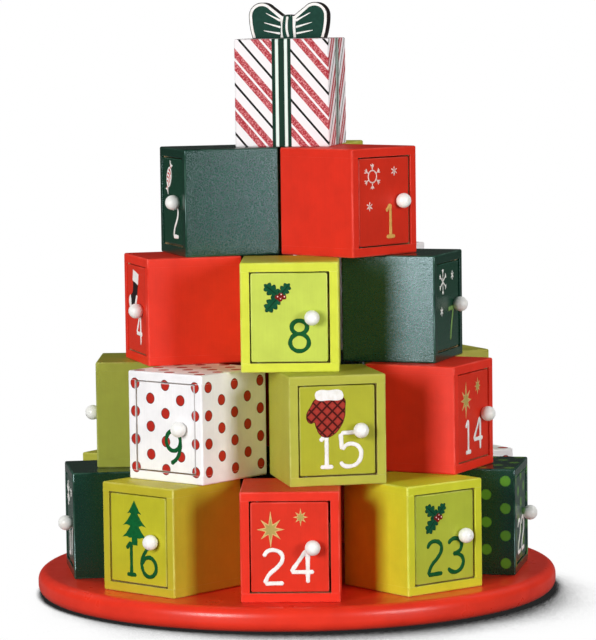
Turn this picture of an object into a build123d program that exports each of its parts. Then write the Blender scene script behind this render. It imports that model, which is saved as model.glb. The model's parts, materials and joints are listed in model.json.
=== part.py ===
from build123d import *
from math import asin, cos, pi, radians, sin, tan
import os

# A tower of small door boxes on a round plate, with a gift box and a bow on top.
# Millimetres, +Z up, front to -Y, origin under the middle of the plate.

# Base plate
plate_diameter = 353
plate_thickness = 16
plate_rim = 6.5
rim_flats = 3

# One door box, glued from five boards
box_width = 64
box_depth = 65
box_height = 71.5
board = 6
edge_break = 0.8

# Rings of boxes from the lowest up, and which way the first box of each faces
ring_counts = (9, 7, 5, 3)
ring_turns = (-1.5, 12, -1.3, 167)
ring_gap = 1.6

# Inset door
door_thickness = 6
door_gap = 0.8
latch_gap = 1.3
door_recess = 0.6
door_edge = 0.6
hinge_inset = 4.5
hinge_edge = 1.5

# Brads that the door turns on
pin_size = 1.2
pin_grip = 4.5
pin_reach = 6
pin_clearance = 0.05
pin_float = 0.3
bore_sides = 12

# Strip that the door closes against
stop_size = 5
stop_length = 30
stop_clearance = 0.2

# Ball knob, flat where it is glued on
knob_diameter = 10
knob_seat = 5
knob_tip = 3
knob_inset = 10.2
knob_sides = 12
knob_bands = 5

# Gift box and bow
gift_width = 64
gift_height = 72
gift_turn = -11
bow_width = 54
bow_height = 24.2
bow_thickness = 12
bow_foot = 49
loop_radius = 9
loop_sweep = 135
knot_width = 7.6
knot_height = 16
knot_shoulder = 15.4

# Worked out from the sizes above
opening_width = box_width - 2 * board
opening_height = box_height - 2 * board
door_width = opening_width - door_gap - latch_gap
door_shift = (door_gap - latch_gap) / 2
door_height = opening_height - 2 * door_gap
door_bottom = board + door_gap
door_top = door_bottom + door_height
door_front = door_recess - box_depth / 2
door_back = door_front + door_thickness
hinge_x = door_shift - door_width / 2 + hinge_inset
hinge_y = (door_front + door_back) / 2
knob_x = door_shift + door_width / 2 - knob_inset
knob_z = box_height / 2
pin_bore = pin_size / 2**0.5 + pin_clearance


def glued_boards(width, depth, height):
    """Top, bottom, left, right and back boards of a box that stands on the origin, open at the front."""
    with BuildPart(Plane.XY.offset(height)) as top:
        Box(width, depth, board, align=(Align.CENTER, Align.CENTER, Align.MAX))
        rim = top.faces().sort_by(Axis.Z)[-1].edges() + top.edges().filter_by(Axis.Z)
        chamfer(rim, edge_break)
    with BuildPart() as bottom:
        mirror(top.part, about=Plane.XY.offset(height / 2))
    with BuildPart(Plane.XY.offset(board)) as right:
        with Locations((width / 2, 0)):
            Box(board, depth, height - 2 * board, align=(Align.MAX, Align.CENTER, Align.MIN))
        outer = right.faces().sort_by(Axis.X)[-1].edges().filter_by(Axis.Z)
        chamfer(outer, edge_break)
    with BuildPart() as left:
        mirror(right.part, about=Plane.YZ)
    with BuildPart(Plane.XY.offset(board)) as back:
        with Locations((0, depth / 2)):
            Box(
                width - 2 * board,
                board,
                height - 2 * board,
                align=(Align.CENTER, Align.MAX, Align.MIN),
            )
    made = {"top": top, "bottom": bottom, "left": left, "right": right, "back": back}
    for name, piece in made.items():
        piece.part.label = f"{name}_board"
    return {name: piece.part for name, piece in made.items()}


def write_group(label, pieces, place=Location()):
    """Separate solids under one name, moved to their place on the tower."""
    group = Compound(label=label, children=[place * piece for piece in pieces])
    export_step(group, f"parts/{label}.step")


os.makedirs("parts", exist_ok=True)

# Base plate, its rim rounded above and below in narrow flats
rim_turns = [pi / 2 * flat / rim_flats for flat in range(rim_flats + 1)]
rim_reach = plate_diameter / 2 - plate_rim
rim_below = [(rim_reach + plate_rim * sin(turn), plate_rim * (1 - cos(turn))) for turn in rim_turns]
rim_above = [(x, plate_thickness - z) for x, z in reversed(rim_below)]
with BuildPart() as base_plate:
    with BuildSketch(Plane.XZ):
        with BuildLine():
            Polyline((0, 0), *rim_below, *rim_above, (0, plate_thickness), close=True)
        make_face()
    revolve(axis=Axis.Z)
base_plate.part.label = "base_plate"
export_step(base_plate.part, "parts/base_plate.step")

# Boards of a door box, the top and bottom ones holed for the brads from inside
boards = glued_boards(box_width, box_depth, box_height)
with BuildPart() as pins:
    for seat, upright in ((door_bottom + pin_reach, Align.MAX), (door_top - pin_reach, Align.MIN)):
        with Locations((hinge_x, hinge_y, seat)):
            Box(
                pin_size,
                pin_size,
                pin_reach + door_gap + pin_grip,
                align=(Align.CENTER, Align.CENTER, upright),
            )
for name in ("top", "bottom"):
    with BuildPart() as holed:
        add(boards[name])
        add(pins.part, mode=Mode.SUBTRACT)
    holed.part.label = f"{name}_board"
    boards[name] = holed.part

# Door panel, eased round its front, bevelled behind the hinge line and bored for the brads
with BuildPart(Plane.XY.offset(door_bottom)) as panel:
    with Locations((door_shift, door_front)):
        Box(
            door_width,
            door_thickness,
            door_height,
            align=(Align.CENTER, Align.MIN, Align.MIN),
        )
    chamfer(panel.faces().sort_by(Axis.Y)[0].edges(), door_edge)
    swung = panel.faces().sort_by(Axis.Y)[-1].edges().filter_by(Axis.Z).sort_by(Axis.X)[0]
    chamfer(swung, hinge_edge)
    for end, depth in ((door_bottom, pin_reach), (door_top, -pin_reach - pin_float)):
        with BuildSketch(Plane.XY.offset(end)):
            with Locations((hinge_x, hinge_y)):
                RegularPolygon(pin_bore, bore_sides, major_radius=False)
        extrude(amount=depth, mode=Mode.SUBTRACT)
panel.part.label = "panel"

# Ball knob in flat facets, from its glued seat to its tip
knob_plane = Plane(origin=(knob_x, door_front, knob_z), x_dir=(1, 0, 0), z_dir=(0, -1, 0))
knob_radius = knob_diameter / 2
seat_angle = pi - asin(knob_seat / knob_diameter)
tip_angle = asin(knob_tip / knob_diameter)
knob_points = []
for band in range(knob_bands + 1):
    slope = seat_angle + (tip_angle - seat_angle) * band / knob_bands
    rise = knob_radius * (cos(slope) - cos(seat_angle))
    girth = knob_radius * sin(slope)
    for side in range(knob_sides):
        turn = 2 * pi * side / knob_sides
        knob_points.append((girth * cos(turn), girth * sin(turn), rise))
with BuildPart(knob_plane) as knob:
    ConvexPolyhedron(knob_points)
knob.part.label = "knob"

# Strip behind the free edge of the door
with BuildPart() as stop:
    with Locations((opening_width / 2, door_back + stop_clearance, box_height / 2)):
        Box(stop_size, stop_size, stop_length, align=(Align.MAX, Align.MIN, Align.CENTER))
stop.part.label = "stop"

# Where each box stands: the highest number of a ring faces its turn, and they count down to the right
places = {}
number = sum(ring_counts)
for level, (count, turn) in enumerate(zip(ring_counts, ring_turns)):
    reach = (box_width + ring_gap) / 2 / tan(pi / count) + box_depth / 2
    height = plate_thickness + level * box_height
    for step in range(count):
        facing = turn + 360 * step / count
        x = reach * sin(radians(facing))
        y = -reach * cos(radians(facing))
        places[number] = Location((x, y, height), (0, 0, facing))
        number -= 1

for number, place in places.items():
    write_group(f"box_{number:02d}", boards.values(), place)
    write_group(f"door_{number:02d}", (panel.part, knob.part), place)
write_group("hinge_pins", [place * pin for place in places.values() for pin in pins.part.solids()])
write_group("door_stops", [place * stop.part for place in places.values()])

# Gift box: the same boards, and a front board glued in flush
gift_base = plate_thickness + len(ring_counts) * box_height
gift_place = Location((0, 0, gift_base), (0, 0, gift_turn))
gift_boards = glued_boards(gift_width, gift_width, gift_height)
with BuildPart(Plane.XY.offset(board)) as front:
    with Locations((0, -gift_width / 2)):
        Box(
            gift_width - 2 * board,
            board,
            gift_height - 2 * board,
            align=(Align.CENTER, Align.MIN, Align.MIN),
        )
front.part.label = "front_board"
write_group("gift_box", (*gift_boards.values(), front.part), gift_place)

# Bow: two loops and a knot sawn from board, flat along its foot
bow_plane = Plane(
    origin=(0, 0, gift_base + gift_height),
    x_dir=(cos(radians(gift_turn)), sin(radians(gift_turn)), 0),
    z_dir=(sin(radians(gift_turn)), -cos(radians(gift_turn)), 0),
)
with BuildPart() as gift_bow:
    with BuildSketch(bow_plane):
        with BuildLine():
            loop_x = bow_width / 2 - loop_radius
            loop_z = bow_height - loop_radius
            Line((0, 0), (bow_foot / 2, 0))
            TangentArc((bow_width / 2, loop_z), (bow_foot / 2, 0), tangent=(0, -1))
            crown = CenterArc((loop_x, loop_z), loop_radius, 0, loop_sweep)
            Line(crown @ 1, (knot_width / 2, knot_shoulder))
            TangentArc((0, knot_height), (knot_width / 2, knot_shoulder), tangent=(1, 0))
            mirror(about=Plane.YZ)
        make_face()
    extrude(amount=bow_thickness / 2, both=True)
gift_bow.part.label = "gift_bow"
export_step(gift_bow.part, "parts/gift_bow.step")
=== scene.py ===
import json
import math
from functools import partial

import bmesh
import bpy
from mathutils import Matrix, Vector


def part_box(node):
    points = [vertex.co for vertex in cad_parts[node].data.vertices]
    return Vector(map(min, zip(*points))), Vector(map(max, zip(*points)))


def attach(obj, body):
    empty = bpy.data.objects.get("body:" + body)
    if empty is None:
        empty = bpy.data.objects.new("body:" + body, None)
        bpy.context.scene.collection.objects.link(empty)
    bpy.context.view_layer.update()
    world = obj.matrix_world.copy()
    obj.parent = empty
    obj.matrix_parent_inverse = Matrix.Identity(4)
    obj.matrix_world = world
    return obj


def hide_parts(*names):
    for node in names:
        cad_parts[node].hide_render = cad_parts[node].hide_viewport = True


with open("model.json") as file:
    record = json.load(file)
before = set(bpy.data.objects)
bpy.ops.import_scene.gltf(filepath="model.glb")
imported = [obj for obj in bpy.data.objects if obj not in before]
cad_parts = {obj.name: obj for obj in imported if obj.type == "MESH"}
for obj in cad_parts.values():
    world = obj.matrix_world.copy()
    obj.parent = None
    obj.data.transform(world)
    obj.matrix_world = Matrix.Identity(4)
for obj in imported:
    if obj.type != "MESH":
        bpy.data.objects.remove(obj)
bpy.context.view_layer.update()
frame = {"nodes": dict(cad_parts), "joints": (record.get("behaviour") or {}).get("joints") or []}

mm = 0.001
scene = bpy.context.scene
scene.view_settings.view_transform = "Standard"


def linearHex(code):  # an sRGB hex colour as linear red, green, blue and alpha
    channels = [int(code[start:start + 2], 16) / 255 for start in (1, 3, 5)]
    return [c / 12.92 if c <= 0.04045 else ((c + 0.055) / 1.055) ** 2.4 for c in channels] + [1.0]


def addNode(tree, kind, inputs=(), **settings):  # a node with its settings, its sockets set or linked
    isNamedInFull = kind.startswith(("Geometry", "NodeGroup"))
    node = tree.nodes.new(kind if isNamedInFull else "ShaderNode" + kind)
    for name, value in settings.items():
        setattr(node, name, value)
    for name, value in inputs.items() if isinstance(inputs, dict) else enumerate(inputs):
        if isinstance(value, bpy.types.Node):  # a node stands for its first output in use
            value = next(socket for socket in value.outputs if socket.enabled)
        if isinstance(value, bpy.types.NodeSocket):
            tree.links.new(value, node.inputs[name])
        else:
            node.inputs[name].default_value = value
    return node


def newMaterial(name):  # an empty material, and what adds nodes to it
    material = bpy.data.materials.new(name)
    material.use_nodes = True
    material.node_tree.nodes.clear()
    return material, partial(addNode, material.node_tree)


def closeMaterial(add, sockets):  # every finish on the tower ends in one shader
    shader = add("BsdfPrincipled", sockets)
    add("OutputMaterial", {"Surface": shader})


def newWorker(name, data):
    worker = bpy.data.objects.new(name, data)
    scene.collection.objects.link(worker)
    return worker


def bakedMesh(worker):  # what an object's modifiers give, as a plain mesh; the object goes
    graph = bpy.context.evaluated_depsgraph_get()
    mesh = bpy.data.meshes.new_from_object(worker.evaluated_get(graph))
    bpy.data.objects.remove(worker)
    return mesh


def openMesh(mesh):
    shape = bmesh.new()
    shape.from_mesh(mesh)
    return shape


def closeMesh(shape, mesh):
    shape.to_mesh(mesh)
    shape.free()
    return mesh


def joinMeshes(parts):  # (mesh, place, material) rows in one mesh, with a slot for each material
    joined = bmesh.new()
    materials = []
    for mesh, place, material in parts:
        if material not in materials:
            materials.append(material)
        copy = mesh.copy()
        copy.transform(place)
        copy.polygons.foreach_set("material_index", [materials.index(material)] * len(copy.polygons))
        joined.from_mesh(copy)
        bpy.data.meshes.remove(copy)
    whole = closeMesh(joined, bpy.data.meshes.new("joined"))
    for material in materials:
        whole.materials.append(material)
    return whole


def finishPiece(name, mesh, body, node=None):  # an object at the origin, its place in its mesh
    mesh.name = name
    piece = newWorker(name, mesh)
    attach(piece, body)
    if node:
        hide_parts(node)


noiseLow, noiseHigh = 0.3, 0.7  # nearly all of a noise lies between these
coreLow, coreHigh = 0.35, 0.65  # and most of it between these


def blended(add, value, start, end, first, second, most=1.0, **fade):  # from one colour to the next
    share = add("MapRange", [value, start, end, 0.0, most], **fade)
    return add("Mix", {0: share, 6: first, 7: second}, data_type="RGBA")


def striped(add, distance, middle, width, feather, paint, ground):  # a stripe of paint over a ground
    fromMiddle = add("Math", [distance, middle], operation="SUBTRACT")
    away = add("Math", [fromMiddle], operation="ABSOLUTE")
    return blended(add, away, width / 2 - feather, width / 2 + feather, paint, ground)


# Satin acrylic rolled on sanded board: a fine pebble that breaks up the sheen, drag marks along each board,
# a slight mottle, and paler paint on the rounded edges, partly rubbed wear and partly a painted highlight.
# The pebble is drawn a little coarse, so that it shows.
rolledPaint = {
    "pebble": 1.05 * mm,
    "pebbleDepth": 0.08 * mm,
    "dragLength": 26 * mm,
    "dragWidth": 0.8 * mm,
    "dragDepth": 0.006 * mm,
    "dragTone": 0.35,
    "mottle": 16 * mm,
    "toneSpread": 0.25,
    "toneRange": (0.92, 1.06),
    "edgeWearAndHighlight": 0.35,
    "ior": 1.48,
}
evenSheen = {"specular": 0.26, "tint": "#ffffff", "roughness": (0.38, 0.52)}
# A cooler, harder varnish on the dark green. Fine specks on its boards shine less and more than the rest.
firSheen = {"specular": 0.86, "tint": "#d6f0f6", "roughness": (0.18, 0.26), "specks": (0.76, 1.16)}
firDoorSheen = {"specular": 0.42, "tint": "#d6f0f6", "roughness": (0.18, 0.26)}

# Spots dabbed on in staggered columns, from the middle of each face, their paint gathered in a thin rim
spotPattern = {
    "diameter": 7.3 * mm,
    "column": 13.0 * mm,
    "row": 18.4 * mm,
    "tallest": 32.2 * mm,  # none lie further above or below the middle, so that none are cut in half
    "rim": 0.55 * mm,
    "feather": 0.12 * mm,
    "wobble": 0.5 * mm,
    "wobbleSize": 5 * mm,
}


def dabbedSpots(add, objectMap, ground, spotColour, rimColour):
    spots = spotPattern
    faceMap = add("UVMap", uv_map="face")
    shake = add("TexNoise", {
        "Vector": objectMap, "Scale": 1 / spots["wobbleSize"], "Detail": 1.0}).outputs["Color"]
    centred = add("VectorMath", [shake, (0.5, 0.5, 0.5)], operation="SUBTRACT")
    handDrawn = add("VectorMath", [
        centred, (spots["wobble"], spots["wobble"], 0.0), faceMap], operation="MULTIPLY_ADD")
    reach = (spots["column"], spots["row"] / 2, 1.0)
    distances = []
    for shift in ((0.0, spots["row"] / 2, 0.0), (spots["column"], 0.0, 0.0)):
        shifted = add("VectorMath", [handDrawn, shift], operation="SUBTRACT")
        cell = add("VectorMath", [shifted, reach, [-side for side in reach]], operation="WRAP")
        flat = add("VectorMath", [cell, (1.0, 1.0, 0.0)], operation="MULTIPLY")
        distances.append(add("VectorMath", [flat], operation="LENGTH"))
    nearest = add("Math", [distances[0], distances[1]], operation="MINIMUM")
    upright = add("SeparateXYZ", [handDrawn]).outputs["Y"]
    fromMiddle = add("Math", [upright], operation="ABSOLUTE")
    outside = add("Math", [fromMiddle, spots["tallest"]], operation="GREATER_THAN")
    kept = add("Math", [nearest, outside], operation="ADD")
    radius, feather = spots["diameter"] / 2, spots["feather"]
    for edge, layer in ((radius, rimColour), (radius - spots["rim"], spotColour)):
        ground = blended(
            add, kept, edge - feather, edge + feather, linearHex(layer), ground,
            interpolation_type="SMOOTHSTEP")
    return ground


def satinAcrylic(name, colour, edgeWearAndHighlightColour, sheen, spotColour=None, rimColour=None):
    material, add = newMaterial(name)
    look = rolledPaint
    objectMap = add("TexCoord").outputs["Object"]
    boardMap = add("UVMap", uv_map="board")
    pebble = add("TexNoise", {
        "Vector": objectMap, "Scale": 1 / look["pebble"], "Detail": 3.0, "Roughness": 0.7})
    mottle = add("TexNoise", {
        "Vector": objectMap, "Scale": 1 / look["mottle"], "Detail": 4.0, "Roughness": 0.6})
    dragMap = add("Mapping", {
        "Vector": boardMap, "Scale": (1 / look["dragLength"], 1 / look["dragWidth"], 1.0)})
    drag = add("TexNoise", {"Vector": dragMap, "Scale": 1.0, "Detail": 2.0})
    painted = linearHex(colour)
    if spotColour:
        painted = dabbedSpots(add, objectMap, painted, spotColour, rimColour)

    # the rounded edges are painted paler in patches: rubbed wear, and a painted highlight along them
    onEdge = add("Attribute", attribute_name="edge").outputs["Fac"]
    wearAndHighlight = add("MapRange", [mottle, coreLow, coreHigh, 0.0, look["edgeWearAndHighlight"]])
    wearAndHighlightShare = add("Math", [onEdge, wearAndHighlight], operation="MULTIPLY")
    wornAndHighlighted = add("Mix", {0: wearAndHighlightShare, 6: painted, 7: linearHex(edgeWearAndHighlightColour)}, data_type="RGBA")
    tone = add("Math", [drag, look["dragTone"], mottle], operation="MULTIPLY_ADD")
    evenTone = 0.5 * (1 + look["dragTone"])
    darkest, palest = look["toneRange"]
    value = add("MapRange", [
        tone, evenTone - look["toneSpread"], evenTone + look["toneSpread"], darkest, palest])
    coloured = add("HueSaturation", {"Value": value, "Color": wornAndHighlighted})

    smooth, dull = sheen["roughness"]
    gloss = add("MapRange", [pebble, noiseLow, noiseHigh, smooth, dull])
    shine = sheen["specular"]
    if "specks" in sheen:
        matt, bright = (share * shine for share in sheen["specks"])
        shine = add("MapRange", [pebble, coreLow, coreHigh, matt, bright])
    dragBump = add("Bump", {"Height": drag, "Strength": 1.0, "Distance": look["dragDepth"]})
    bump = add("Bump", {
        "Height": pebble, "Strength": 1.0, "Distance": look["pebbleDepth"], "Normal": dragBump})
    closeMaterial(add, {
        "Base Color": coloured, "Roughness": gloss, "Normal": bump, "IOR": look["ior"],
        "Specular IOR Level": shine, "Specular Tint": linearHex(sheen["tint"])})
    return material


# Plain finishes have patches of a second colour and gloss, and a fine relief. Their settings: the patch size
# in x, y and z, the noise, where on it the second colour starts and is full, the most there is of it, the
# least and most roughness, the relief's size where it isn't the patches' own, its depth, and shader values.

# Artist's acrylic put on with a round brush: an uneven coat, a little thicker and thinner in patches
brushedCoat = {
    "patch": (3 * mm, 3 * mm, 3 * mm),
    "noise": {"Detail": 3.0, "Roughness": 0.6},
    "blend": (0.42, 0.7),
    "roughness": (0.39, 0.51),
    "relief": 0.5 * mm,
    "reliefDepth": 0.03 * mm,
    "shader": {"Specular IOR Level": 0.1},
}
flatCoat = {**brushedCoat, "shader": {"Specular IOR Level": 0.05}}  # the bow's green, dried flatter

# Red enamel sprayed on the plate: glossier than the boxes, with a wide orange peel and a slightly uneven red
enamelCoat = {
    "colours": ("#ee3823", "#d92e1c"),
    "patch": (30 * mm, 30 * mm, 30 * mm),
    "noise": {"Detail": 4.0, "Roughness": 0.6},
    "blend": (0.35, 0.7),
    "most": 0.8,
    "roughness": (0.26, 0.36),
    "relief": 2.2 * mm,
    "reliefDepth": 0.05 * mm,
    "shader": {"IOR": 1.5, "Specular IOR Level": 0.45},
}

# Bare basswood inside the boxes: pale, straight fine grain up the boards, barely glossy
bareWood = {
    "colours": ("#dcc097", "#bf9a68"),
    "patch": (1.1 * mm, 1.1 * mm, 40 * mm),
    "noise": {"Detail": 4.0, "Roughness": 0.65, "Distortion": 0.3},
    "blend": (0.36, 0.68),
    "roughness": (0.56, 0.7),
    "reliefDepth": 0.04 * mm,
    "shader": {"Specular IOR Level": 0.3},
}

# Drawn steel brads: bright, with fine scratches along the shank
drawnSteel = {
    "colours": ("#c9c9c4", "#8f908c"),
    "patch": (0.12 * mm, 0.12 * mm, 6 * mm),
    "noise": {"Detail": 2.0},
    "blend": (0.0, 1.0),
    "roughness": (0.25, 0.45),
    "shader": {"Metallic": 1.0},
}

# White lacquered beads: a thick glossy dip over turned wood, faintly uneven
beadLacquer = {
    "colours": ("#fbfbf7", "#f2f0e8"),
    "patch": (2.5 * mm, 2.5 * mm, 2.5 * mm),
    "noise": {"Detail": 2.0},
    "blend": (0.45, 0.75),
    "roughness": (0.22, 0.34),
    "reliefDepth": 0.05 * mm,
    "shader": {"IOR": 1.5},
}


def plainFinish(name, look):
    material, add = newMaterial(name)
    objectMap = add("TexCoord").outputs["Object"]
    patchMap = add("Mapping", {"Vector": objectMap, "Scale": [1 / size for size in look["patch"]]})
    patch = add("TexNoise", {"Vector": patchMap, "Scale": 1.0, **look["noise"]})
    first, second = (linearHex(code) for code in look["colours"])
    colour = blended(add, patch, *look["blend"], first, second, look.get("most", 1.0))
    smooth, dull = look["roughness"]
    gloss = add("MapRange", [patch, noiseLow, noiseHigh, smooth, dull])
    sockets = {"Base Color": colour, "Roughness": gloss, **look["shader"]}
    relief = patch
    if "relief" in look:
        relief = add("TexNoise", {"Vector": objectMap, "Scale": 1 / look["relief"], "Detail": 2.0})
    if "reliefDepth" in look:
        sockets["Normal"] = add("Bump", {
            "Height": relief, "Strength": 1.0, "Distance": look["reliefDepth"]})
    closeMaterial(add, sockets)
    return material


# The mitten's red: a quilted check of dark lines over a red that is paler in the middle of each square
quiltedRed = {
    "red": "#942d24",
    "middle": "#ad392e",
    "line": "#42120e",
    "turn": math.radians(45),
    "square": 4.9 * mm,
    "lineWidth": 1.1 * mm,
    "feather": 0.1 * mm,
    "roughness": 0.5,
    "specular": 0.1,
}


def quiltedAcrylic():
    material, add = newMaterial("quiltedAcrylic")
    look = quiltedRed
    half = look["square"] / 2
    faceMap = add("UVMap", uv_map="face")
    turned = add("Mapping", {"Vector": faceMap, "Rotation": (0.0, 0.0, look["turn"])})
    cell = add("VectorMath", [turned, (half, half, half), (-half, -half, -half)], operation="WRAP")
    size = add("VectorMath", [cell], operation="ABSOLUTE")
    across, up = add("SeparateXYZ", [size]).outputs[:2]
    out = add("Math", [across, up], operation="MAXIMUM")
    body = blended(add, out, 0.0, half, linearHex(look["middle"]), linearHex(look["red"]))
    check = striped(add, out, half, look["lineWidth"], look["feather"], linearHex(look["line"]), body)
    closeMaterial(add, {
        "Base Color": check, "Roughness": look["roughness"], "Specular IOR Level": look["specular"]})
    return material


# Gift box paint: white with slanting pairs of sponged red bands and a black line between the pairs,
# and a green ribbon with two white lines up the middle of each side and across the lid.
giftPaint = {
    "white": "#f1eced",
    "red": "#aa2833",
    "redPale": "#e69b9e",
    "black": "#0f0b0a",
    "green": "#0a3022",
    "ribbonWhite": "#e3efe6",
    "slope": 1.152,
    "period": 33.05 * mm,
    "phase": -10.05 * mm,
    "blackLine": 2.2 * mm,
    "band": 6.4 * mm,
    "bandGap": 2.1 * mm,
    "speck": 1.0 * mm,
    "speckBlend": (0.46, 0.66),
    "ribbon": 12.9 * mm,
    "ribbonLine": 2.1 * mm,
    "ribbonLineAt": 3.05 * mm,
    "feather": 0.14 * mm,
    "pebble": 1.5 * mm,
    "pebbleDepth": 0.03 * mm,
    "roughness": (0.4, 0.55),
    "specular": 0.08,
}


def candyStripe():
    material, add = newMaterial("candyStripeAcrylic")
    look = giftPaint
    feather = look["feather"]
    half = look["period"] / 2
    objectMap = add("TexCoord").outputs["Object"]
    faceMap = add("UVMap", uv_map="face")
    across, up = add("SeparateXYZ", [faceMap]).outputs[:2]
    slant = add("Math", [across, look["slope"], up], operation="MULTIPLY_ADD")
    shifted = add("Math", [slant, look["phase"]], operation="SUBTRACT")
    cell = add("Math", [shifted, half, -half], operation="WRAP")
    away = add("Math", [cell], operation="ABSOLUTE")
    speck = add("TexNoise", {
        "Vector": objectMap, "Scale": 1 / look["speck"], "Detail": 3.0, "Roughness": 0.7})
    sponged = blended(add, speck, *look["speckBlend"], linearHex(look["red"]), linearHex(look["redPale"]))
    bandMiddle = (look["bandGap"] + look["band"]) / 2
    banded = striped(add, away, bandMiddle, look["band"], feather, sponged, linearHex(look["white"]))
    lined = striped(add, away, half, look["blackLine"], feather, linearHex(look["black"]), banded)

    sideways = add("Math", [across], operation="ABSOLUTE")
    lengthways = add("Math", [up], operation="ABSOLUTE")
    fromRibbon = add("Math", [sideways, lengthways], operation="MINIMUM")
    ribbon = striped(
        add, fromRibbon, look["ribbonLineAt"], look["ribbonLine"], feather,
        linearHex(look["ribbonWhite"]), linearHex(look["green"]))
    wrapped = striped(add, fromRibbon, 0.0, look["ribbon"], feather, ribbon, lined)

    pebble = add("TexNoise", {"Vector": objectMap, "Scale": 1 / look["pebble"], "Detail": 2.0})
    smooth, dull = look["roughness"]
    gloss = add("MapRange", [pebble, noiseLow, noiseHigh, smooth, dull])
    bump = add("Bump", {"Height": pebble, "Strength": 1.0, "Distance": look["pebbleDepth"]})
    closeMaterial(add, {
        "Base Color": wrapped, "Roughness": gloss, "Normal": bump, "Specular IOR Level": look["specular"]})
    return material


# Box paints: board and door colours, the paler edge colour (rubbed wear and a painted highlight), and spots
# with their rims where there are some
# The dark green's boards are painted darker than its doors, a painted shade on the sides of the boxes
firLook = {
    "board": "#0b3324", "door": "#0f3c2a", "edge": "#5e8474", "slot": "green_paint",
    "boardSheen": firSheen, "doorSheen": firDoorSheen,
}
boxPaints = {
    "red": {"board": "#e6311d", "door": "#d82f1a", "edge": "#f0776a", "slot": "red_paint"},
    "lime": {"board": "#d6dd43", "door": "#c2d153", "edge": "#f0f2a0", "slot": "lime_paint"},
    "spring": {"board": "#d2d430", "door": "#b1bc39", "edge": "#e8ea9a", "slot": "lime_paint"},
    # moss: the olive made darker for box 10, a painted shade
    "moss": {"board": "#999f38", "door": "#949a34", "edge": "#c9cc8a", "slot": "lime_paint"},
    "olive": {"board": "#b4b443", "door": "#adad2a", "edge": "#dcdc92", "slot": "lime_paint"},
    "mustard": {"board": "#c0b52e", "door": "#c0bc29", "edge": "#dedb90", "slot": "lime_paint"},
    "fir": firLook,
    "firSpotted": {**firLook, "spots": "#5b9428", "rim": "#4a7f22"},
    "whiteSpotted": {
        "board": "#faf8f9", "door": "#faf8f9", "edge": "#fbfafb", "slot": "white_paint",
        "spots": "#b9281b", "rim": "#701812"},
}
boardPaint = {}
doorPaint = {}
for paint, look in boxPaints.items():
    for part, paints in (("board", boardPaint), ("door", doorPaint)):
        name = paint + part.title() + "Acrylic"
        sheen = look.get(part + "Sheen", evenSheen)
        spots = (look.get("spots"), look.get("rim"))
        paints[paint] = satinAcrylic(name, look[part], look["edge"], sheen, *spots)

# Brush paints for the numbers and motifs, thick and thin
brushPaints = {
    "white": ("#f6f4f1", "#ebe7e0"),
    "fir": ("#0f5228", "#175c2f"),
    "tree": ("#0f6331", "#0c5429"),
    "holly": ("#0d4a2f", "#15593a"),
    "hollyEdge": ("#062818", "#0a3120"),
    "berry": ("#7c1712", "#64110d"),
    "gold": ("#dab476", "#cfa767"),
    "oldGold": ("#b5a05a", "#a8965a"),
    "amber": ("#e6ae60", "#d29c50"),
    "moss": ("#7fa45c", "#6d9350"),
    "rose": ("#f4d9d2", "#eac2b8"),
    "cherry": ("#c9261f", "#a81c18"),
    "maroon": ("#561913", "#66201a"),
    "black": ("#1b1717", "#2c2625"),
    "bowGreen": ("#153c31", "#1c4338"),
}
brushPaint = {}
for paint, colours in brushPaints.items():
    coat = flatCoat if paint == "bowGreen" else brushedCoat
    brushPaint[paint] = plainFinish(paint + "ArtistAcrylic", {**coat, "colours": colours})
plateEnamel = plainFinish("redEnamel", enamelCoat)
basswood = plainFinish("bareBasswood", bareWood)
steel = plainFinish("bradSteel", drawnSteel)
lacquer = plainFinish("whiteLacquer", beadLacquer)
quilt = quiltedAcrylic()
stripes = candyStripe()
print("materials:", len(bpy.data.materials))


def openTree(name, sockets):  # a node group with the given inputs, and what adds nodes to it
    tree = bpy.data.node_groups.new(name, "GeometryNodeTree")
    tree.interface.new_socket("Geometry", in_out="OUTPUT", socket_type="NodeSocketGeometry")
    for socket, kind, value in sockets:
        made = tree.interface.new_socket(socket, in_out="INPUT", socket_type="NodeSocket" + kind)
        if value is not None:
            made.default_value = value
    add = partial(addNode, tree)
    return tree, add, add("NodeGroupInput").outputs


def closeTree(add, geometry, material):  # every tree ends the same way
    solid = add("GeometryNodeRealizeInstances", [geometry])
    painted = add("GeometryNodeSetMaterial", {0: solid, "Material": material})
    add("NodeGroupOutput", [painted])


def runTree(tree, data, values):  # the mesh that a tree makes, its inputs set by identifier
    worker = newWorker(tree.name, data)
    modifier = worker.modifiers.new(tree.name, "NODES")
    modifier.node_group = tree
    for item in tree.interface.items_tree:
        if item.in_out == "INPUT" and item.name in values:
            modifier[item.identifier] = values[item.name]
    return bakedMesh(worker)


# A loaded round brush: the stroke swells from its ends, wavers a little and stands slightly proud
paintHeight = 0.2 * mm
brush = {
    "step": 0.7 * mm,
    "sides": 8,
    "waver": 0.12,
    "waverSize": 4 * mm,
    "merge": 0.02 * mm,
}


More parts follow.
